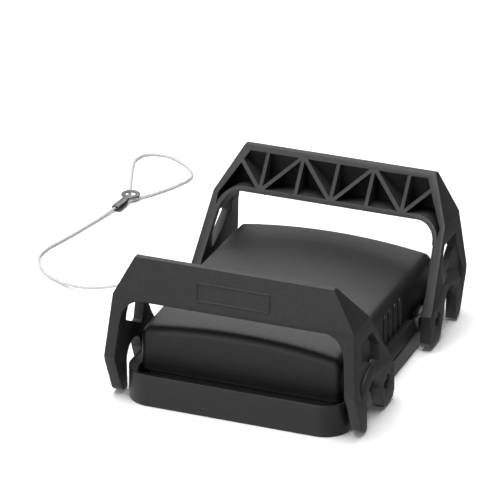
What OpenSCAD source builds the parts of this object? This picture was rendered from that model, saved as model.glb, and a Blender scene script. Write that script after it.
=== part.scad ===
// Protective cover with two locking levers and a securing cord, for a long
// rectangular plug-in connector housing. Millimetres, +Z up. The origin is on
// the plane that the skirt stands on, under the middle of the cover. The
// levers stand upright at the front (-Y) and at the rear (+Y).

/* [Skirt] */
// Width of the skirt across the levers
skirt_w = 90; // [89:0.1:90.4]
// Length of the skirt, front to rear
skirt_l = 123.4; // [122:0.2:124]
// Height of the skirt
skirt_h = 13.2; // [12.8:0.1:13.6]
// Thickness of the skirt's wall
skirt_wall = 3.6; // [3.4:0.1:3.8]
// Outer radius of the skirt's upright corners
skirt_r = 10.8; // [9:0.1:12]

/* [Dome] */
// Width of the dome
dome_w = 81.2; // [80.6:0.1:81.4]
// Length of the dome
dome_l = 104; // [103:0.2:105]
// Height of the crown above the standing plane
dome_h = 32.2; // [31:0.1:34]
// Height at which the dome's wall begins
dome_foot = 10.3; // [10:0.1:10.6]
// Thickness of the dome's wall
dome_wall = 2.2; // [1.8:0.1:2.6]

/* [Levers] */
// Width over the levers' arms
lever_w = 102; // [101.6:0.1:103]
// Thickness of each arm
arm_t = 4.4; // [4.2:0.1:4.5]
// Height of the pivots above the standing plane
pivot_z = 11; // [10.9:0.1:11.4]
// Distance of each pivot from the middle of the cover
pivot_y = 29; // [28.6:0.1:29.4]
// Radius of the pivot pins
pin_r = 2.9; // [2.6:0.1:3]
// Width of the ribs in the handles' trusses
rib_w = 1.5; // [1.3:0.1:1.9]

/* [Securing cord] */
// Diameter of the cord
cord_d = 1.2; // [1:0.1:1.2]
// Radius of the screw hole in the ring terminal
ring_hole_r = 2.15; // [2:0.05:2.3]
// Outer radius of the ring terminal
ring_r = 4; // [3.8:0.1:4.2]

/* [Hidden] */
$fn = 64;
eps = 0.01;
run_gap = 0.05;
reach = 10;
black = "#2a2a2b";
charcoal = "#3b3b3c";

// Base frame: web, inner rim and the groove for the gasket.
web_z = [4, 6.4];
rim_step = 1;
rim_t = 3.6;
groove_d = 1;
groove_w = 2.6;
groove_r = 3;
gasket_w = 2.4;
gasket_gap = 0.1;
web_r = 2;
gasket_outer = [dome_w + 0.2, dome_l + 6.4];
gasket_h = 2.4;
rail_z = 7.4;
rail_in = dome_w / 2 + 0.4;
rail_out = [skirt_w / 2 - 0.1, skirt_w / 2 - 1.1];
rail_half = [23.2, 20.4];
rail_relief = 0.5;
rail_gap = 0.1;
boss_r = 5.2;
boss_x = [dome_w / 2 + 1.8, lever_w / 2 - arm_t - 0.6];
pin_step = 3.2;
pin_end = lever_w / 2 - 0.7;
washer_t = 0.5;
washer_r = boss_r - 0.4;
screw_at = [dome_w / 2 - 7.6, dome_l / 2 - 7.6];
ear_r = 4.6;
screw_r = 1.5;
head_r = 2.7;
head_h = 1.8;
screw_gap = 0.2;
head_gap = 0.3;
screw_l = 12.3;
post_r = 3.2;
post_h = 9;

// Dome: crown radii from the drop at the sides and at the ends.
drop_x = 3.3;
drop_y = 1.2;
crown_rx = (pow(dome_w / 2, 2) + pow(drop_x, 2)) / (2 * drop_x);
crown_ry = (pow(dome_l / 2, 2) + pow(drop_y, 2)) / (2 * drop_y);
shoulder = 2.2;
corner_r = 4;
grip_pitch = 5.6;
grip_y = 4.3;
grip_z = [11.3, 25.7];
grip_w = 2.9;
grip_out = 0.35;
grip_slot_w = 1.5;
grip_slot_d = 0.9;

// Lever outline in its own plane: u inward from the pivot, v up from it.
lever_outline = [
    [-28.8, 49.2], [-26.4, 49.2], [-14.0, 33.5], [8.3, 4.0], [8.5, -7.4], [6.6, -9.7],
    [-1.8, -9.8], [-3.4, -9.2], [-15, -9.2], [-21.2, -9.6], [-22.6, -10.6], [-25.6, -9.8],
    [-27.2, -8.2], [-34.7, 8.3], [-30.5, 32.9]
];
slot_at = [-14.8, 0.6];
slot_r = 7;
rim_r = 13;
window = [[-24.9, 26], [-11.9, 26], [-6.1, 18.4], [-6.6, 11.6], [-8.5, 11.2], [-24.9, 20]];
pocket = [[-24.9, 20.4], [-8.5, 11.6], [-8.5, 8], [-20, 4], [-27.4, 4.6], [-29.4, 9.5]];
pocket_d = 1.5;
splay_v = [6, 33];
splay = 2.4;
chamfer_top = 40;
handle_v = [31.6, 49.2];
panel_t = 2;
flange_t = 1.8;
top_rail = 2.9;
handle_corner_r = 8;
truss_pitch = 14.8;
truss_v = [handle_v[0] + flange_t, handle_v[1] - top_rail];
truss_half = [44.4, 37.2];
cell_end = [[46.5, 29.8], [46.2, 25]];
gap_lean = 8.3;
lean_at = [-30.4, handle_v[0]];

// Securing cord, from inside the left wall of the dome to the ring terminal,
// through its barrel, once round the loop and back into the barrel.
cord_lift = cord_d / 2 + 0.1;
grommet_at = [-dome_w / 2, 17.5, 17];
grommet_bore = cord_d / 2 + 0.2;
grommet_neck_r = 1.9;
grommet_flange_r = 2.7;
ferrule_r = 1.6;
ferrule_l = 4;
ferrule_x = -dome_w / 2 + dome_wall + 1;
term_at = [-113.4, 111];
term_turn = -4.7;
barrel_r = [0.68, 1.35];
barrel_y = [-13.6, -4.8];
barrel_half_gap = 0.65;
plate_z = [barrel_r[1] + barrel_r[0], 2 * barrel_r[1]];
route = [
    [ferrule_x, 17.5, 17], [-44, 17.5, 17], [-52, 17.6, 16.4], [-62, 17.5, 14.2],
    [-72, 17.1, 11], [-82, 17, 7], [-93, 19.4, 3.4], [-103, 23, 1.4],
    [-112, 27.4, cord_lift], [-118, 32, cord_lift], [-122.7, 38, cord_lift],
    [-125.6, 45, cord_lift], [-125.4, 53, cord_lift], [-122.8, 63, cord_lift],
    [-120.2, 74, cord_lift], [-118, 84, cord_lift], [-116.4, 91, 0.95],
    [-115.16, 97.5, 1.35], [-114.44, 106.3, 1.35], [-114.6, 109.4, 1.15],
    [-115.76, 115.8, cord_lift], [-117.6, 120.8, cord_lift], [-119.9, 126.8, cord_lift],
    [-122.4, 133.6, cord_lift], [-125, 141, cord_lift],
    [-126.6, 148, cord_lift], [-124.4, 154.4, cord_lift], [-117, 156.4, cord_lift],
    [-109, 153.2, cord_lift], [-101.4, 146.8, cord_lift], [-97.8, 139.4, cord_lift],
    [-100, 130, cord_lift], [-104.4, 120.6, cord_lift], [-108.3, 114.3, cord_lift],
    [-111.2, 110.9, 0.9], [-112.8, 108, 1.25], [-113.18, 105.6, 1.35],
    [-113.72, 99, 1.35]
];
cord_sides = 8;
ring_step = 3.5;

// ---- Shared helpers -------------------------------------------------------

module rounded_rect(w, l, r) {
    square([w - 2 * r, l], center = true);
    square([w, l - 2 * r], center = true);
    for (x = [-1, 1], y = [-1, 1])
        translate([x * (w / 2 - r), y * (l / 2 - r)]) circle(r = r);
}

module rounded_ring(w, l, r, t) {
    difference() {
        rounded_rect(w, l, r);
        rounded_rect(w - 2 * t, l - 2 * t, max(r - t, 0.5));
    }
}

module at_pivots() {
    for (x = [-1, 1], y = [-1, 1])
        translate([0, y * pivot_y, pivot_z])
            mirror([x < 0 ? 1 : 0, 0, 0]) children();
}

module x_cylinder(x0, x1, r) {
    translate([x0, 0, 0]) rotate([0, 90, 0]) cylinder(h = x1 - x0, r = r);
}

module at_screws() {
    for (x = [-1, 1], y = [-1, 1])
        translate([x * screw_at[0], y * screw_at[1], 0]) children();
}

// ---- Base frame -----------------------------------------------------------

module rim_2d() {
    w = dome_w - 2 * rim_step;
    l = dome_l - 2 * rim_step;
    rounded_ring(w, l, corner_r - rim_step, rim_t);
}

module frame_body() {
    linear_extrude(skirt_h) rounded_ring(skirt_w, skirt_l, skirt_r, skirt_wall);
    translate([0, 0, web_z[0]]) linear_extrude(web_z[1] - web_z[0]) difference() {
        rounded_rect(skirt_w - skirt_wall, skirt_l - skirt_wall, skirt_r - skirt_wall / 2);
        rounded_rect(dome_w - 2 * rim_step - rim_t, dome_l - 2 * rim_step - rim_t, web_r);
    }
    translate([0, 0, web_z[0]]) linear_extrude(dome_foot - web_z[0]) rim_2d();
    translate([0, 0, web_z[0]]) at_screws() cylinder(h = dome_foot - web_z[0], r = ear_r);
    at_pivots() x_cylinder(boss_x[0], boss_x[1], boss_r);
}

module rail_space() {
    for (x = [-1, 1])
        translate([x * (rail_in + reach / 2), 0, rail_z + reach / 2])
            cube([reach, 2 * (rail_half[0] + rail_gap), reach], center = true);
}

module base_frame() {
    color(black) difference() {
        frame_body();
        rail_space();
        at_pivots() x_cylinder(boss_x[0] - 1, boss_x[1] + 1, pin_r);
        at_screws() translate([0, 0, -eps]) cylinder(h = dome_foot + 1, r = screw_r + screw_gap);
        at_screws() cylinder(h = web_z[0] + head_h + head_gap, r = head_r + head_gap);
        linear_extrude(web_z[0] + groove_d) rounded_ring(
            gasket_outer[0] + 2 * gasket_gap, gasket_outer[1] + 2 * gasket_gap, groove_r, groove_w
        );
    }
}

module sealing_gasket() {
    color("#1c1c1c") translate([0, 0, web_z[0] + groove_d - gasket_h])
        linear_extrude(gasket_h)
            rounded_ring(gasket_outer[0], gasket_outer[1], groove_r - gasket_gap, gasket_w);
}

module side_rail() {
    intersection() {
        translate([rail_in, 0, 0]) rotate([90, 0, 90]) linear_extrude(reach)
            polygon([
                [-rail_half[0], rail_z], [rail_half[0], rail_z],
                [rail_half[1], skirt_h], [-rail_half[1], skirt_h]
            ]);
        rotate([90, 0, 0]) linear_extrude(skirt_l, center = true)
            polygon([
                [rail_in, rail_z], [rail_out[0] - rail_relief, rail_z],
                [rail_out[0] - rail_relief, rail_z + rail_relief],
                [rail_out[0], rail_z + rail_relief], [rail_out[1], skirt_h], [rail_in, skirt_h]
            ]);
    }
}

module left_side_rail() {
    color(black) mirror([1, 0, 0]) side_rail();
}

module right_side_rail() {
    color(black) side_rail();
}

// ---- Dome -----------------------------------------------------------------

// The crown is two cylinders, one along each axis, and the shoulders are
// planes at 45 degrees. inset is how far every face lies inside the outside.
module dome_solid(inset, foot) {
    intersection() {
        translate([0, 0, foot]) linear_extrude(dome_h - foot)
            rounded_rect(dome_w - 2 * inset, dome_l - 2 * inset, corner_r - inset);
        translate([0, dome_l, dome_h - crown_rx]) rotate([90, 0, 0])
            cylinder(h = 2 * dome_l, r = crown_rx - inset, $fn = 720);
        translate([-dome_w, 0, dome_h - crown_ry]) rotate([0, 90, 0])
            cylinder(h = 2 * dome_w, r = crown_ry - inset, $fn = 1440);
        rotate([90, 0, 0]) linear_extrude(2 * dome_l, center = true)
            shoulder_2d(dome_w / 2 - inset, dome_h - drop_x - drop_y - shoulder);
        rotate([90, 0, 90]) linear_extrude(2 * dome_w, center = true)
            shoulder_2d(dome_l / 2 - inset, dome_h - drop_y - shoulder - 0.6);
    }
}

module shoulder_2d(half, z) {
    polygon([[-half, 0], [half, 0], [half, z], [half - 30, z + 30], [30 - half, z + 30], [-half, z]]);
}

// Upright loop of width w on the right wall, between x0 and x1.
module grip_loop(w, x0, x1) {
    z = (grip_z[0] + grip_z[1]) / 2;
    half = (grip_z[1] - grip_z[0] - grip_w) / 2;
    translate([x0, 0, z]) rotate([90, 0, 90]) linear_extrude(x1 - x0) {
        square([w, 2 * half], center = true);
        for (s = [-1, 1]) translate([0, s * half]) circle(r = w / 2);
    }
}

module at_grips() {
    for (x = [0, 1], i = [-1.5:1:1.5])
        mirror([x, 0, 0]) translate([dome_w / 2, grip_y + i * grip_pitch, 0]) children();
}

module cover_shell() {
    color(black) difference() {
        union() {
            difference() {
                dome_solid(0, dome_foot);
                dome_solid(dome_wall, dome_foot - 1);
            }
            at_grips() grip_loop(grip_w, -0.5, grip_out);
            intersection() {
                dome_solid(dome_wall / 2, dome_foot);
                at_screws() translate([0, 0, dome_foot]) cylinder(h = dome_h, r = post_r);
            }
        }
        at_grips() grip_loop(grip_slot_w, -grip_slot_d, grip_out + 1);
        at_screws() translate([0, 0, dome_foot - 1]) cylinder(h = post_h + 1, r = screw_r);
        translate(grommet_at) x_cylinder(-1, dome_wall + 1, grommet_neck_r);
    }
}

module cover_screws() {
    color("silver") at_screws() {
        translate([0, 0, web_z[0] + head_gap]) cylinder(h = head_h, r = head_r);
        translate([0, 0, web_z[0] + 1]) cylinder(h = screw_l, r = screw_r);
    }
}

// ---- Levers ---------------------------------------------------------------

// Front view of the lever: arms that lean in slightly, chamfered top corners.
module lever_front_2d() {
    half = lever_w / 2;
    polygon([
        [-half, -20], [-half, splay_v[0]], [splay - half, splay_v[1]],
        [-chamfer_top, handle_v[1]], [chamfer_top, handle_v[1]],
        [half - splay, splay_v[1]], [half, splay_v[0]], [half, -20]
    ]);
}

module lever_gap_2d() {
    half = lever_w / 2 - arm_t;
    top = half - splay * (handle_v[0] - splay_v[0]) / (splay_v[1] - splay_v[0]);
    r = handle_corner_r;
    difference() {
        polygon([
            [-half, -30], [-half, splay_v[0]], [-top, handle_v[0]],
            [top, handle_v[0]], [half, splay_v[0]], [half, -30]
        ]);
        for (x = [0, 1]) mirror([x, 0]) difference() {
            translate([top - r + 0.4, handle_v[0] - r]) square([r + 3, r + 1]);
            translate([top - r + 0.4, handle_v[0] - r]) circle(r = r);
        }
    }
}

// Cells of the truss, open towards the middle of the cover. The end cells run
// down behind the round corners of the gap.
module truss_side_2d() {
    polygon([
        [-30.4 + panel_t, cell_end[1][1]], [0, cell_end[1][1]], [0, handle_v[1] - top_rail / 2],
        [-28.9 + panel_t, handle_v[1] - top_rail / 2]
    ]);
}

module truss_front_2d() {
    half = lever_w / 2 - arm_t - splay * (handle_v[0] - splay_v[0]) / (splay_v[1] - splay_v[0]);
    corner = [half - handle_corner_r + 0.4, handle_v[0] - handle_corner_r];
    polygon([
        [-truss_half[0], truss_v[0]], [truss_half[0], truss_v[0]],
        [truss_half[1], truss_v[1]], [-truss_half[1], truss_v[1]]
    ]);
    for (x = [0, 1]) mirror([x, 0]) difference() {
        polygon([corner, [corner[0], truss_v[0]], [truss_half[0], truss_v[0]], cell_end[0], cell_end[1]]);
        translate(corner) circle(r = handle_corner_r + flange_t);
    }
}

module truss_ribs_2d() {
    rise = truss_v[1] - truss_v[0];
    lean = atan2(truss_pitch - rib_w, rise);
    for (i = [-2:2])
        translate([i * truss_pitch - rib_w / 2, truss_v[0] - 1]) square([rib_w, rise + 2]);
    for (i = [-1:1], s = [-1, 1])
        translate([i * 2 * truss_pitch + s * rib_w / 2, truss_v[0]]) rotate(-s * lean)
            translate([-rib_w / 2, -1]) square([rib_w, 2 * rise]);
}

module slot_2d() {
    translate(slot_at) circle(r = slot_r);
    polygon([
        [slot_at[0] - slot_r, slot_at[1]], [slot_at[0] + slot_r, slot_at[1]],
        [-2.2, -12], [-21.3, -12]
    ]);
}

module pocket_2d() {
    difference() {
        polygon(pocket);
        translate(slot_at) circle(r = rim_r);
    }
}

module along_x(length) {
    rotate([90, 0, 90]) linear_extrude(length, center = true) children();
}

module along_y(length) {
    rotate([90, 0, 0]) linear_extrude(length, center = true) children();
}

// The gap under the handle and the cells rise a little towards the middle.
module leaning() {
    translate([0, lean_at[0], lean_at[1]]) rotate([gap_lean, 0, 0])
        translate([0, -lean_at[0], -lean_at[1]]) along_y(120) children();
}

// One lever about its own pivot line: u is +Y here and v is +Z.
module lever() {
    difference() {
        intersection() {
            along_x(lever_w + 2) polygon(lever_outline);
            along_y(120) lever_front_2d();
        }
        leaning() lever_gap_2d();
        along_x(lever_w + 4) slot_2d();
        along_x(lever_w + 4) polygon(window);
        for (x = [0, 1]) mirror([x, 0, 0])
            translate([lever_w / 2 - pocket_d, 0, 0]) rotate([90, 0, 90])
                linear_extrude(5) pocket_2d();
        x_cylinder(-lever_w, lever_w, pin_r + run_gap);
        difference() {
            intersection() {
                along_x(lever_w) truss_side_2d();
                leaning() truss_front_2d();
            }
            leaning() truss_ribs_2d();
        }
    }
}

module front_lever() {
    color(charcoal) translate([0, -pivot_y, pivot_z]) lever();
}

module rear_lever() {
    color(charcoal) translate([0, pivot_y, pivot_z]) rotate([0, 0, 180]) lever();
}

// sx is -1 on the left and sy is -1 at the front. The outer end is half round.
module pivot_pin(sx, sy) {
    color("dimgray") translate([0, sy * pivot_y, pivot_z]) mirror([sx < 0 ? 1 : 0, 0, 0])
        difference() {
            x_cylinder(boss_x[0] + 0.2, pin_end, pin_r);
            translate([pin_end - pin_step, -pin_r - 1, -pin_r - 1])
                cube([pin_step + 1, 2 * pin_r + 2, pin_r + 1]);
        }
}

module wear_washer(sx, sy) {
    color("gray") translate([0, sy * pivot_y, pivot_z]) mirror([sx < 0 ? 1 : 0, 0, 0])
        difference() {
            x_cylinder(boss_x[1], boss_x[1] + washer_t, washer_r);
            x_cylinder(boss_x[1] - 1, boss_x[1] + 1, pin_r + run_gap);
        }
}

// ---- Securing cord --------------------------------------------------------

module cord_grommet() {
    color("#242424") translate(grommet_at) difference() {
        union() {
            x_cylinder(-1.2, 0, grommet_flange_r);
            x_cylinder(-eps, dome_wall, grommet_neck_r - 0.05);
        }
        x_cylinder(-3, dome_wall + 1, grommet_bore);
    }
}

module cord_ferrule() {
    color("silver") translate([ferrule_x, grommet_at[1], grommet_at[2]])
        x_cylinder(0, ferrule_l, ferrule_r);
}

// Tangent at point i, then a cubic through the stretch from i to i + 1.
function tangent(p, i) =
    let (a = p[max(i - 1, 0)], b = p[min(i + 1, len(p) - 1)])
    (b - a) / (norm(p[i] - a) + norm(b - p[i]));
function on_stretch(p, i, t) =
    let (l = norm(p[i + 1] - p[i]), a = tangent(p, i) * l, b = tangent(p, i + 1) * l)
    (2 * t * t * t - 3 * t * t + 1) * p[i] + (t * t * t - 2 * t * t + t) * a
    + (3 * t * t - 2 * t * t * t) * p[i + 1] + (t * t * t - t * t) * b;
function smooth(p) = [
    for (i = [0:len(p) - 2])
        let (n = max(1, round(norm(p[i + 1] - p[i]) / ring_step)))
        for (k = [0:n - 1]) on_stretch(p, i, k / n),
    p[len(p) - 1]
];
function cord_ring(c, t, r) =
    let (s = cross(t, [0, 0, 1]), side = s / norm(s), up = cross(side, t) / norm(t))
    [for (k = [0:cord_sides - 1])
        let (a = 360 * (k + 0.5) / cord_sides) c + r * (cos(a) * side + sin(a) * up)];

module swept_tube(p, r) {
    n = len(p);
    m = cord_sides;
    rings = [for (i = [0:n - 1]) each cord_ring(p[i], tangent(p, i), r)];
    skin = [for (i = [0:n - 2], k = [0:m - 1])
        each [[i * m + k, i * m + (k + 1) % m, (i + 1) * m + (k + 1) % m],
              [i * m + k, (i + 1) * m + (k + 1) % m, (i + 1) * m + k]]];
    start = [for (k = [m - 1:-1:0]) k];
    end = [for (k = [0:m - 1]) (n - 1) * m + k];
    polyhedron(points = rings, faces = concat(skin, [start], [end]));
}

module securing_cord() {
    color("gainsboro") swept_tube(smooth(route), cord_d / 2);
}

// Section of the crimped barrel: two round tubes side by side, run together.
module barrel_2d(r) {
    square([2 * barrel_half_gap, 2 * r], center = true);
    for (x = [-1, 1]) translate([x * barrel_half_gap, 0]) circle(r = r);
}

module ring_terminal() {
    plate_t = plate_z[1] - plate_z[0];
    neck_half = barrel_half_gap + 1;
    color("silver") translate([term_at[0], term_at[1], 0]) rotate([0, 0, term_turn]) {
        translate([0, 0, plate_z[0]]) linear_extrude(plate_t) difference() {
            union() {
                circle(r = ring_r);
                translate([-neck_half, barrel_y[1] - 1]) square([2 * neck_half, 1 - barrel_y[1]]);
            }
            circle(r = ring_hole_r);
        }
        translate([0, barrel_y[1], barrel_r[1]]) rotate([90, 0, 0])
            linear_extrude(barrel_y[1] - barrel_y[0]) difference() {
                barrel_2d(barrel_r[1]);
                barrel_2d(barrel_r[0]);
            }
    }
}

base_frame();
cover_shell();
sealing_gasket();
left_side_rail();
right_side_rail();
cover_screws();
front_lever();
rear_lever();
pivot_pin(-1, -1);  // front_left_pin
pivot_pin(1, -1);  // front_right_pin
pivot_pin(-1, 1);  // rear_left_pin
pivot_pin(1, 1);  // rear_right_pin
wear_washer(-1, -1);  // front_left_washer
wear_washer(1, -1);  // front_right_washer
wear_washer(-1, 1);  // rear_left_washer
wear_washer(1, 1);  // rear_right_washer
cord_grommet();
cord_ferrule();
securing_cord();
ring_terminal();
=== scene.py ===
import math

import bmesh
import bpy
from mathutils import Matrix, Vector


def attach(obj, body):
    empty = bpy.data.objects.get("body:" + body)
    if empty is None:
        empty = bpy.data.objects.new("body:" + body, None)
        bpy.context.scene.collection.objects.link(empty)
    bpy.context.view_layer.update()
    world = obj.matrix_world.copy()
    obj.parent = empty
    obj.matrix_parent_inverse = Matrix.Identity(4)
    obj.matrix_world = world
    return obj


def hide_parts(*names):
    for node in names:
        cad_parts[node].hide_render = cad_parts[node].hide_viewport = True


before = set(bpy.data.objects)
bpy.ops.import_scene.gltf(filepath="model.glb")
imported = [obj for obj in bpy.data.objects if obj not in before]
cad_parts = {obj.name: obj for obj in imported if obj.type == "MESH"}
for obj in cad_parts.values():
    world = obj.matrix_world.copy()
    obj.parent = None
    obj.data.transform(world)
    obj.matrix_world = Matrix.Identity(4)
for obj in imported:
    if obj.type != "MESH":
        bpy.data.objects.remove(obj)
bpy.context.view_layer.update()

MM = 0.001

# ---- Camera -----------------------------------------------------------------

CAMERA_AIM = Vector((-0.01625, 0, 0.04174))
CAMERA_AZIMUTH = math.radians(21.48)
CAMERA_ELEVATION = math.radians(25.11)
CAMERA_DISTANCE = 1.7793
LENS_MM = 331.9


def make_camera():
    """A long lens from the front right, a little above the cover."""
    data = bpy.data.cameras.new("camera")
    data.lens = LENS_MM
    data.sensor_width = 36
    data.clip_end = 20
    camera = bpy.data.objects.new("camera", data)
    back = Vector((
        math.sin(CAMERA_AZIMUTH) * math.cos(CAMERA_ELEVATION),
        -math.cos(CAMERA_AZIMUTH) * math.cos(CAMERA_ELEVATION),
        math.sin(CAMERA_ELEVATION),
    ))
    camera.location = CAMERA_AIM + back * CAMERA_DISTANCE
    camera.rotation_mode = "QUATERNION"
    camera.rotation_quaternion = (-back).to_track_quat("-Z", "Y")
    bpy.context.scene.collection.objects.link(camera)
    bpy.context.scene.camera = camera


make_camera()

# ---- Shader helpers -----------------------------------------------------------


class Shader:
    """One material's node tree, with short names for the nodes used here."""

    def __init__(self, name):
        self.material = bpy.data.materials.new(name)
        self.material.use_nodes = True
        self.tree = self.material.node_tree
        self.principled = self.tree.nodes["Principled BSDF"]

    def node(self, kind):
        return self.tree.nodes.new(kind)

    def link(self, source, target):
        self.tree.links.new(source, target)

    def position(self):
        return self.node("ShaderNodeTexCoord").outputs["Object"]

    def noise(self, scale, detail=3.0, roughness=0.5, vector=None):
        made = self.node("ShaderNodeTexNoise")
        made.inputs["Scale"].default_value = scale
        made.inputs["Detail"].default_value = detail
        made.inputs["Roughness"].default_value = roughness
        self.link(vector or self.position(), made.inputs["Vector"])
        return made.outputs["Fac"]

    def ramp(self, value, stops):
        made = self.node("ShaderNodeValToRGB")
        ramp = made.color_ramp
        while len(ramp.elements) < len(stops):
            ramp.elements.new(0.5)
        for element, (place, colour) in zip(ramp.elements, stops):
            element.position = place
            element.color = (*colour, 1)
        self.link(value, made.inputs["Fac"])
        return made.outputs["Color"]

    def span(self, value, low, high):
        """value from 0 to 1 becomes low to high."""
        made = self.node("ShaderNodeMapRange")
        made.inputs["To Min"].default_value = low
        made.inputs["To Max"].default_value = high
        self.link(value, made.inputs["Value"])
        return made.outputs["Result"]

    def bump(self, height, strength, distance, normal=None):
        made = self.node("ShaderNodeBump")
        made.inputs["Strength"].default_value = strength
        made.inputs["Distance"].default_value = distance
        self.link(height, made.inputs["Height"])
        if normal:
            self.link(normal, made.inputs["Normal"])
        return made.outputs["Normal"]

    def set(self, **values):
        for key, value in values.items():
            self.principled.inputs[key.replace("_", " ")].default_value = value


def grey(value):
    return (value, value, value * 1.01)


def moulded_plastic(name, dark, light, rough, grain, grain_depth):
    """Black moulded plastic: a mottled tone, an even grain and a slightly uneven gloss."""
    s = Shader(name)
    mottle = s.ramp(s.noise(700, 4, 0.7), [(0.35, grey(dark)), (0.65, grey(light))])
    s.link(mottle, s.principled.inputs["Base Color"])
    s.link(s.span(s.noise(450, 3), *rough), s.principled.inputs["Roughness"])
    fine = s.bump(s.noise(grain, 2, 0.6), 0.5, grain_depth)
    s.link(s.bump(s.noise(90, 2), 0.12, 0.0004, fine), s.principled.inputs["Normal"])
    s.set(IOR=1.52)
    return s.material


def rubber():
    s = Shader("gasket rubber")
    mottle = s.ramp(s.noise(300), [(0.3, grey(0.010)), (0.7, grey(0.018))])
    s.link(mottle, s.principled.inputs["Base Color"])
    s.link(s.bump(s.noise(2500), 0.3, 0.0001), s.principled.inputs["Normal"])
    s.set(Roughness=0.8)
    return s.material


def metal(name, dark, light, rough, stretch):
    """Drawn or plated metal with fine marks along one axis."""
    s = Shader(name)
    mapping = s.node("ShaderNodeMapping")
    mapping.inputs["Scale"].default_value = stretch
    s.link(s.position(), mapping.inputs["Vector"])
    marks = s.noise(900, 3, 0.6, mapping.outputs["Vector"])
    s.link(s.ramp(marks, [(0.3, dark), (0.7, light)]), s.principled.inputs["Base Color"])
    s.link(s.span(marks, *rough), s.principled.inputs["Roughness"])
    s.link(s.bump(marks, 0.2, 0.00008), s.principled.inputs["Normal"])
    s.set(Metallic=1.0)
    return s.material


def cord_coating():
    """Clear plastic over bright strands: grey, glossy and faintly mottled."""
    s = Shader("cord coating")
    marks = s.noise(1400, 3)
    mottle = s.ramp(marks, [(0.3, (0.34, 0.345, 0.35)), (0.7, (0.58, 0.585, 0.59))])
    s.link(mottle, s.principled.inputs["Base Color"])
    s.link(s.bump(marks, 0.25, 0.0001), s.principled.inputs["Normal"])
    s.set(Roughness=0.22, Coat_Weight=0.6, Coat_Roughness=0.08)
    return s.material


COVER_PLASTIC = moulded_plastic("cover plastic", 0.004, 0.007, (0.43, 0.52), 2600, 0.00016)
LEVER_PLASTIC = moulded_plastic("lever plastic", 0.007, 0.012, (0.52, 0.62), 2100, 0.00022)
RUBBER = rubber()
PIN_STEEL = metal("pin steel", (0.10, 0.10, 0.105), (0.19, 0.19, 0.195), (0.4, 0.55), (0.3, 1, 1))
# This zinc is given a much darker colour than real zinc plating, as painted shade, so the washers
# beside the hinge bosses show no bright glint; the screws share it.
ZINC = metal("zinc plated steel", (0.08, 0.083, 0.086), (0.13, 0.134, 0.14), (0.4, 0.55), (1, 1, 1))
TINNED = metal("tinned copper", (0.08, 0.075, 0.074), (0.19, 0.182, 0.18), (0.24, 0.38), (1, 0.3, 1))
CORD_COATING = cord_coating()

# ---- Mesh helpers -------------------------------------------------------------


def add_object(name, data, material, body, slot, *replaced):
    piece = bpy.data.objects.new(name, data)
    bpy.context.scene.collection.objects.link(piece)
    data.materials.clear()
    data.materials.append(material)
    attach(piece, body)
    if replaced:
        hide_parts(*replaced)
    return piece


def mesh_from(name, bm):
    bmesh.ops.remove_doubles(bm, verts=bm.verts, dist=1e-7)
    bmesh.ops.recalc_face_normals(bm, faces=bm.faces)
    for face in bm.faces:
        face.smooth = True
    mesh = bpy.data.meshes.new(name)
    bm.to_mesh(mesh)
    bm.free()
    return mesh


WELD = 0.002 * MM
FLAT = math.radians(0.4)
SHARP = math.radians(12)


def softened(node, name, material, body, slot, edge, segments=2, calm=None, shape=None):
    """A copy of a CAD node with its flat faces made whole and its sharp edges rounded.

    calm gives a smaller share of the rounding at a place, and shape moves the corners first."""
    bm = bmesh.new()
    bm.from_mesh(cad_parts[node].data)
    bmesh.ops.remove_doubles(bm, verts=bm.verts, dist=WELD)
    bmesh.ops.dissolve_limit(bm, angle_limit=FLAT, verts=bm.verts, edges=bm.edges)
    if shape:
        for vertex in bm.verts:
            vertex.co = shape(vertex.co)
    weight = bm.edges.layers.float.new("bevel_weight_edge")
    for e in bm.edges:
        if len(e.link_faces) == 2 and e.calc_face_angle(0) > SHARP:
            middle = (e.verts[0].co + e.verts[1].co) / 2
            e[weight] = calm(middle) if calm else 1.0
    piece = add_object(name, mesh_from(name, bm), material, body, slot, node)
    bevel = piece.modifiers.new("edges", "BEVEL")
    bevel.limit_method = "WEIGHT"
    bevel.width = edge
    bevel.segments = segments
    bevel.harden_normals = True
    bevel.use_clamp_overlap = False
    return piece


def stitch(bm, loops):
    """Quads between closed rings of points that have equal counts."""
    rings = [[bm.verts.new(p) for p in loop] for loop in loops]
    for low, high in zip(rings, rings[1:]):
        count = len(low)
        for i in range(count):
            j = (i + 1) % count
            bm.faces.new((low[i], low[j], high[j], high[i]))
    return rings


def cap(bm, ring):
    """Closes the opening that ends at that ring."""
    rim = [e for e in bm.edges if e.is_boundary and e.verts[0] in ring]
    bmesh.ops.holes_fill(bm, edges=rim, sides=0)


def rounded_rect(half_x, half_y, radius, steps, straight):
    """Points round a rectangle with rounded corners, counted so that every size matches."""
    points = []
    centres = [(1, 1, 0), (-1, 1, 90), (-1, -1, 180), (1, -1, 270)]
    for sx, sy, start in centres:
        cx, cy = sx * (half_x - radius), sy * (half_y - radius)
        for k in range(steps + 1):
            a = math.radians(start + 90 * k / steps)
            points.append((cx + radius * math.cos(a), cy + radius * math.sin(a)))
        nx, ny = {0: (-1, 1), 90: (-1, -1), 180: (1, -1), 270: (1, 1)}[start]
        last = points[-1]
        if start in (0, 180):
            first_next = (nx * (half_x - radius), last[1])
        else:
            first_next = (last[0], ny * (half_y - radius))
        for k in range(1, straight):
            t = k / straight
            points.append((
                last[0] + (first_next[0] - last[0]) * t,
                last[1] + (first_next[1] - last[1]) * t,
            ))
    return points


def stadium(half_width, half_height, steps=8):
    """Points round an upright slot, as (across, up)."""
    points = []
    for sign, start in ((1, 0), (-1, 180)):
        for k in range(steps + 1):
            a = math.radians(start + 180 * k / steps)
            points.append((
                half_width * math.cos(a),
                sign * (half_height - half_width) + half_width * math.sin(a),
            ))
    return points


# ---- Ring terminal --------------------------------------------------------------

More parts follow.
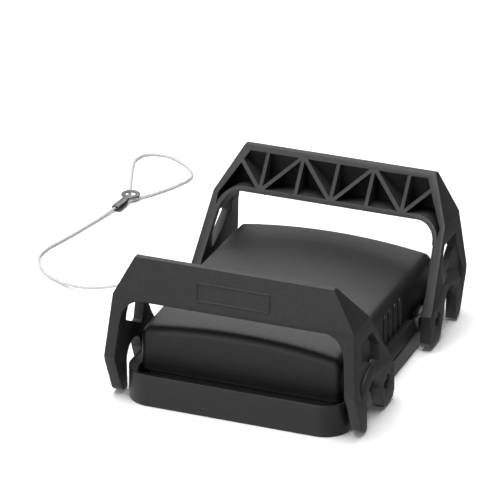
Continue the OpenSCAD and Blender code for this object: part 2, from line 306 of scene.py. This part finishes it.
TERMINAL_AT = Vector((-113.4 * MM, 111 * MM, 0))
TERMINAL_TURN = math.radians(-4.7)
RING_SECTION = [
    (2.15, 2.22), (2.22, 2.09), (2.4, 2.03), (3.72, 2.03), (3.92, 2.1), (4.0, 2.25),
    (4.0, 2.48), (3.92, 2.63), (3.72, 2.7), (2.4, 2.7), (2.22, 2.64), (2.15, 2.51),
]
# Along the neck and the crimped barrel: place, half width, half height, middle height.
BARREL_SECTIONS = [
    (-2.9, 1.5, 0.32, 2.36), (-4.3, 1.5, 0.33, 2.36), (-5.0, 1.62, 0.5, 2.19),
    (-5.7, 1.8, 0.9, 1.79), (-6.6, 1.98, 1.2, 1.46), (-8.2, 2.12, 1.31, 1.36),
    (-10.2, 2.16, 1.33, 1.36), (-12.2, 2.1, 1.32, 1.36), (-13.2, 2.0, 1.27, 1.35),
    (-13.55, 1.85, 1.14, 1.35), (-13.5, 1.6, 0.9, 1.35), (-12.9, 1.4, 0.74, 1.35),
]


def make_lug():
    """The flat ring, its neck and the barrel pressed flat round two runs of cord."""
    bm = bmesh.new()
    turned = []
    for k in range(49):
        a = math.radians(7.5 * k)
        turned.append([(r * math.cos(a) * MM, r * math.sin(a) * MM, z * MM) for r, z in RING_SECTION])
    stitch(bm, turned)
    barrel = []
    for place, half_width, half_height, middle in BARREL_SECTIONS:
        ring = []
        for k in range(24):
            a = math.radians(15 * k)
            across = half_width * math.copysign(abs(math.cos(a)) ** 0.8, math.cos(a))
            up = half_height * math.copysign(abs(math.sin(a)) ** 0.8, math.sin(a))
            ring.append((across * MM, place * MM, (middle + up) * MM))
        barrel.append(ring)
    rings = stitch(bm, barrel)
    bm.faces.new(rings[0])
    bm.faces.new(rings[-1])
    for vertex in bm.verts:
        x, y, z = vertex.co
        vertex.co = TERMINAL_AT + Vector((
            x * math.cos(TERMINAL_TURN) - y * math.sin(TERMINAL_TURN),
            x * math.sin(TERMINAL_TURN) + y * math.cos(TERMINAL_TURN), z,
        ))
    return mesh_from("terminal_lug", bm)


terminal_lug = add_object("terminal_lug", make_lug(), TINNED, "cover", "tinned_metal", "ring_terminal")

# ---- Securing cord ------------------------------------------------------------

CORD_D = 1.2 * MM
LIFT = 0.7
ROUTE_MM = [
    (-37.4, 17.5, 17), (-44, 17.5, 17), (-52, 17.6, 16.4), (-62, 17.5, 14.2),
    (-72, 17.1, 11), (-82, 17, 7), (-93, 19.4, 3.4), (-103, 23, 1.4),
    (-112, 27.4, LIFT), (-118, 32, LIFT), (-122.7, 38, LIFT),
    (-125.6, 45, LIFT), (-125.4, 53, LIFT), (-122.8, 63, LIFT),
    (-120.2, 74, LIFT), (-118, 84, LIFT), (-116.4, 91, 0.95),
    (-115.16, 97.5, 1.35), (-114.44, 106.3, 1.35), (-114.6, 109.4, 1.15),
    (-115.76, 115.8, LIFT), (-117.6, 120.8, LIFT), (-119.9, 126.8, LIFT),
    (-122.4, 133.6, LIFT), (-125, 141, LIFT),
    (-126.6, 148, LIFT), (-124.4, 154.4, LIFT), (-117, 156.4, LIFT),
    (-109, 153.2, LIFT), (-101.4, 146.8, LIFT), (-97.8, 139.4, LIFT),
    (-100, 130, LIFT), (-104.4, 120.6, LIFT), (-108.3, 114.3, LIFT),
    (-111.2, 110.9, 0.9), (-112.8, 108, 1.25), (-113.18, 105.6, 1.35),
    (-113.72, 99, 1.35),
]


def make_cord():
    """The route's points joined by cubics whose tangents come from the neighbouring points."""
    points = [Vector(p) * MM for p in ROUTE_MM]
    curve = bpy.data.curves.new("securing_cord_line", "CURVE")
    curve.dimensions = "3D"
    curve.bevel_depth = CORD_D / 2
    curve.bevel_resolution = 5
    curve.resolution_u = 10
    curve.use_fill_caps = True
    spline = curve.splines.new("BEZIER")
    spline.bezier_points.add(len(points) - 1)
    last = len(points) - 1
    for i, point in enumerate(points):
        before = points[max(i - 1, 0)]
        after = points[min(i + 1, last)]
        back_length = (point - before).length
        ahead_length = (after - point).length
        tangent = (after - before) / (back_length + ahead_length)
        knot = spline.bezier_points[i]
        knot.co = point
        knot.handle_left_type = "FREE"
        knot.handle_right_type = "FREE"
        knot.handle_left = point - tangent * (back_length or ahead_length) / 3
        knot.handle_right = point + tangent * (ahead_length or back_length) / 3
    cord = bpy.data.objects.new("securing_cord_line", curve)
    bpy.context.scene.collection.objects.link(cord)
    curve.materials.append(CORD_COATING)
    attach(cord, "cover")
    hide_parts("securing_cord")


make_cord()

# ---- Dome ---------------------------------------------------------------------

DOME_HALF = (40.9 * MM, 52.2 * MM)
DOME_FOOT = 10.3 * MM
DOME_CORNER = 3.0 * MM
DOME_CROWN = 32.3 * MM
DROP_X = 3.4 * MM
DROP_Y = 1.3 * MM
EDGE_ROUND = 3.6 * MM
DOME_WALL = 2.2 * MM
DRAFT = 0.15 * MM
INNER_ROUND = 1.6 * MM
GRIP_Y = [(4.3 + 5.6 * step) * MM for step in (-1.5, -0.5, 0.5, 1.5)]
GRIP_MID = 18.4 * MM
GRIP_HALF = 7.1 * MM


def crown_height(x, y):
    across = min(abs(x) / DOME_HALF[0], 1)
    along = min(abs(y) / DOME_HALF[1], 1)
    return DOME_CROWN - DROP_X * across ** 2 - DROP_Y * along ** 2


def dome_loop(inset, height=None, below_crown=0.0):
    """A ring of the dome that far inside its plan outline, level or following the crown."""
    radius = max(DOME_CORNER - inset, 0.3 * MM)
    outline = rounded_rect(DOME_HALF[0] - inset, DOME_HALF[1] - inset, radius, 8, 16)
    if height is not None:
        return [(x, y, height) for x, y in outline]
    return [(x, y, crown_height(x, y) - below_crown) for x, y in outline]


def make_dome():
    """The outer skin from its foot to the crown, then the inner skin."""
    bm = bmesh.new()
    loops = [
        dome_loop(DOME_WALL, DOME_FOOT),
        dome_loop(0.5 * MM, DOME_FOOT),
        dome_loop(0.1 * MM, DOME_FOOT + 0.08 * MM),
        dome_loop(-0.08 * MM, DOME_FOOT + 0.3 * MM),
        dome_loop(-0.06 * MM, DOME_FOOT + 0.5 * MM),
        dome_loop(0.03 * MM, DOME_FOOT + 0.8 * MM),
        dome_loop(0.04 * MM, DOME_FOOT + 1.4 * MM),
    ]
    rim = dome_loop(DRAFT, None, EDGE_ROUND)
    start = loops[-1]
    for k in range(1, 7):
        t = k / 7
        loops.append([tuple(a + (b - a) * t for a, b in zip(p, q)) for p, q in zip(start, rim)])
    for k in range(10):
        a = math.radians(9 * k)
        inset = DRAFT + EDGE_ROUND * (1 - math.cos(a))
        loops.append(dome_loop(inset, None, EDGE_ROUND * (1 - math.sin(a))))
    for inset in (4.6, 6.0, 8.5, 12, 16, 21, 26, 31, 36, 39.6):
        loops.append(dome_loop(inset * MM))
    cap(bm, stitch(bm, loops)[-1])
    inner = [dome_loop(DOME_WALL, DOME_FOOT), dome_loop(DOME_WALL, None, EDGE_ROUND + DOME_WALL)]
    for k in range(1, 5):
        a = math.radians(22.5 * k)
        inset = DOME_WALL + INNER_ROUND * (1 - math.cos(a))
        inner.append(dome_loop(inset, None, DOME_WALL + INNER_ROUND * (1 - math.sin(a))))
    for inset in (6, 12, 20, 28, 36, 38.3):
        inner.append(dome_loop(inset * MM, None, DOME_WALL))
    cap(bm, stitch(bm, inner)[-1])
    return mesh_from("dome_shell", bm)


def make_grips():
    """Raised loops round shallow upright slots, four on each side wall."""
    bm = bmesh.new()
    profile = [
        (1.60, 0.0), (1.56, 0.26), (1.40, 0.46), (1.12, 0.52), (0.86, 0.42), (0.68, 0.08),
        (0.62, 0.02), (0.56, 0.02),
    ]
    for side in (-1, 1):
        for y in GRIP_Y:
            loops = []
            for half, out in profile:
                x = side * (DOME_HALF[0] - 0.1 * MM + out * MM)
                half_height = GRIP_HALF - (1.45 - half) * MM
                loops.append([(x, y + u, GRIP_MID + v) for u, v in stadium(half * MM, half_height)])
            rings = stitch(bm, loops)
            bm.faces.new(rings[-1])
    return mesh_from("dome_grips", bm)


add_object("dome_shell", make_dome(), COVER_PLASTIC, "cover", "cover_plastic", "cover_shell")
add_object("dome_grips", make_grips(), COVER_PLASTIC, "cover", "cover_plastic")

# ---- Pins, washers, screws, gasket, grommet and ferrule ---------------------------


def finish_node(node, material):
    """Gives a CAD node that stays its material."""
    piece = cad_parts[node]
    piece.data.materials.clear()
    piece.data.materials.append(material)


# The washers and screws take the darkened zinc, whose dark colour is painted shade.
for corner in ("front_left", "front_right", "rear_left", "rear_right"):
    softened(corner + "_pin", corner + "_pivot", PIN_STEEL, "cover", "pin_steel", 0.25 * MM)
    finish_node(corner + "_washer", ZINC)
finish_node("cover_screws", ZINC)
finish_node("cord_ferrule", TINNED)
finish_node("cord_grommet", RUBBER)
finish_node("sealing_gasket", RUBBER)

# ---- Frame, rails and levers ------------------------------------------------------

# ---- Skirt, rails and levers ------------------------------------------------------

SKIRT_HALF = (45 * MM, 61.7 * MM)
SKIRT_CORNER = 10.8 * MM
SKIRT_TOP = 13.2 * MM
RIM_WIDTH = 4 * MM
RIM_FLAT = 0.3 * MM
RIM_SLOPE = 0.6
BOSS_Y = 29 * MM
BOSS_REACH = 6 * MM
BOSS_X = 40 * MM
TRUSS_Z = (38 * MM, 58.5 * MM)
TRUSS_HALF = 46.5 * MM


def skirt_depth(x, y):
    """How far a place lies inside the skirt's plan outline."""
    across = abs(x) - SKIRT_HALF[0] + SKIRT_CORNER
    along = abs(y) - SKIRT_HALF[1] + SKIRT_CORNER
    if across > 0 and along > 0:
        return SKIRT_CORNER - math.hypot(across, along)
    return SKIRT_CORNER - max(across, along)


def fall_inward(place):
    """The skirt's upper face falls towards the dome."""
    depth = skirt_depth(place.x, place.y)
    if place.z > SKIRT_TOP - 0.05 * MM and depth < RIM_WIDTH:
        drop = RIM_SLOPE * max(depth - RIM_FLAT, 0)
        return Vector((place.x, place.y, place.z - drop))
    return place


def skirt_edges(place):
    """Only the skirt's own rims are rounded, clear of the hinge bosses."""
    depth = skirt_depth(place.x, place.y)
    if abs(place.x) > BOSS_X and abs(abs(place.y) - BOSS_Y) < BOSS_REACH:
        return 0.0
    if depth < RIM_FLAT:
        return 1.0
    return 0.8 if depth < RIM_WIDTH and place.z > 10 * MM else 0.0


def calm_in_truss(place):
    """The thin ribs of the handle keep crisper edges than the rest of the lever."""
    inside = TRUSS_Z[0] < place.z < TRUSS_Z[1] and abs(place.x) < TRUSS_HALF
    return 0.3 if inside else 1.0


softened(
    "base_frame", "skirt_frame", COVER_PLASTIC, "cover", "cover_plastic",
    0.35 * MM, 3, skirt_edges, fall_inward,
)
for side in ("left", "right"):
    softened(side + "_side_rail", side + "_rail", COVER_PLASTIC, "cover", "cover_plastic", 0.25 * MM)
for end in ("front", "rear"):
    softened(
        end + "_lever", end + "_lever_frame", LEVER_PLASTIC, end + "_lever_body",
        "lever_plastic", 0.3 * MM, 2, calm_in_truss,
    )

# ---- Plain fields on the handles ------------------------------------------------

FIELD_HALF = (15.0 * MM, 3.9 * MM)
FIELD_MID = 50.3 * MM
FIELD_CORNER = 1.1 * MM
FIELD_SECTION = [(0, -0.1), (0.04, 0.12), (0.16, 0.24), (0.62, 0.24), (0.76, 0.12), (0.8, -0.1)]
FACE_FOOT = (-59.5 * MM, 43.9 * MM)
FACE_LEAN = 1.7 / 16.3


def make_field(turn):
    """A raised rectangular border on a handle's outer face, with nothing inside it."""
    bm = bmesh.new()
    loops = []
    for inset, out in FIELD_SECTION:
        half_x, half_z = (half - inset * MM for half in FIELD_HALF)
        outline = rounded_rect(half_x, half_z, FIELD_CORNER - inset * MM, 4, 6)
        loop = []
        for across, up in outline:
            z = FIELD_MID + up
            y = FACE_FOOT[0] + FACE_LEAN * (z - FACE_FOOT[1]) - out * MM
            loop.append((turn * across, turn * y, z))
        loops.append(loop)
    stitch(bm, loops)
    return mesh_from("plain_field", bm)


for end, turn in (("front", 1), ("rear", -1)):
    add_object(
        end + "_plain_field", make_field(turn), LEVER_PLASTIC, end + "_lever_body", "lever_plastic"
    )

# ---- Floor and light ----------------------------------------------------------

LIGHT_FROM = Vector((-0.865, -0.18, -0.47))


def make_floor():
    """Plain pale paper under the object."""
    bm = bmesh.new()
    bmesh.ops.create_grid(bm, x_segments=1, y_segments=1, size=6)
    mesh = bpy.data.meshes.new("floor")
    bm.to_mesh(mesh)
    bm.free()
    s = Shader("floor paper")
    cloud = s.ramp(s.noise(3), [(0, (0.92, 0.92, 0.92)), (1, (0.95, 0.95, 0.95))])
    s.link(cloud, s.principled.inputs["Base Color"])
    s.set(Roughness=0.9, Specular_IOR_Level=0.1)
    mesh.materials.append(s.material)
    floor = bpy.data.objects.new("floor", mesh)
    floor.location.z = -0.00005
    floor.visible_glossy = False
    bpy.context.scene.collection.objects.link(floor)


def area_light(name, place, width, height, power):
    """A soft rectangular panel that faces the origin."""
    data = bpy.data.lights.new(name, "AREA")
    data.shape = "RECTANGLE"
    data.size = width
    data.size_y = height
    data.energy = power
    light = bpy.data.objects.new(name, data)
    light.location = place
    light.rotation_mode = "QUATERNION"
    light.rotation_quaternion = (-Vector(place)).to_track_quat("-Z", "Y")
    bpy.context.scene.collection.objects.link(light)


def make_light():
    """A pale studio that is brightest at the left and dim at the rear right, with soft panels."""
    world = bpy.data.worlds.new("studio")
    world.use_nodes = True
    tree = world.node_tree
    background = tree.nodes["Background"]
    background.inputs["Color"].default_value = (1, 1, 1, 1)
    direction = tree.nodes.new("ShaderNodeTexCoord")
    toward = tree.nodes.new("ShaderNodeVectorMath")
    toward.operation = "DOT_PRODUCT"
    toward.inputs[1].default_value = LIGHT_FROM
    strength = tree.nodes.new("ShaderNodeMapRange")
    strength.inputs["From Min"].default_value = -0.72
    strength.inputs["From Max"].default_value = 0.6
    strength.inputs["To Min"].default_value = 0.08
    strength.inputs["To Max"].default_value = 0.92
    tree.links.new(direction.outputs["Generated"], toward.inputs[0])
    tree.links.new(toward.outputs["Value"], strength.inputs["Value"])
    tree.links.new(strength.outputs["Result"], background.inputs["Strength"])
    bpy.context.scene.world = world
    area_light("top softbox", (-0.15, -0.05, 1.3), 1.1, 1.1, 27)
    area_light("front softbox", (-0.45, -1.4, 0.5), 0.8, 0.5, 3)
    area_light("right softbox", (1.3, -0.5, 0.12), 0.9, 0.4, 5)
    area_light("rear softbox", (-0.4, 1.2, 0.9), 0.9, 0.6, 4)


make_floor()
make_light()
bpy.context.scene.view_settings.view_transform = "Standard"
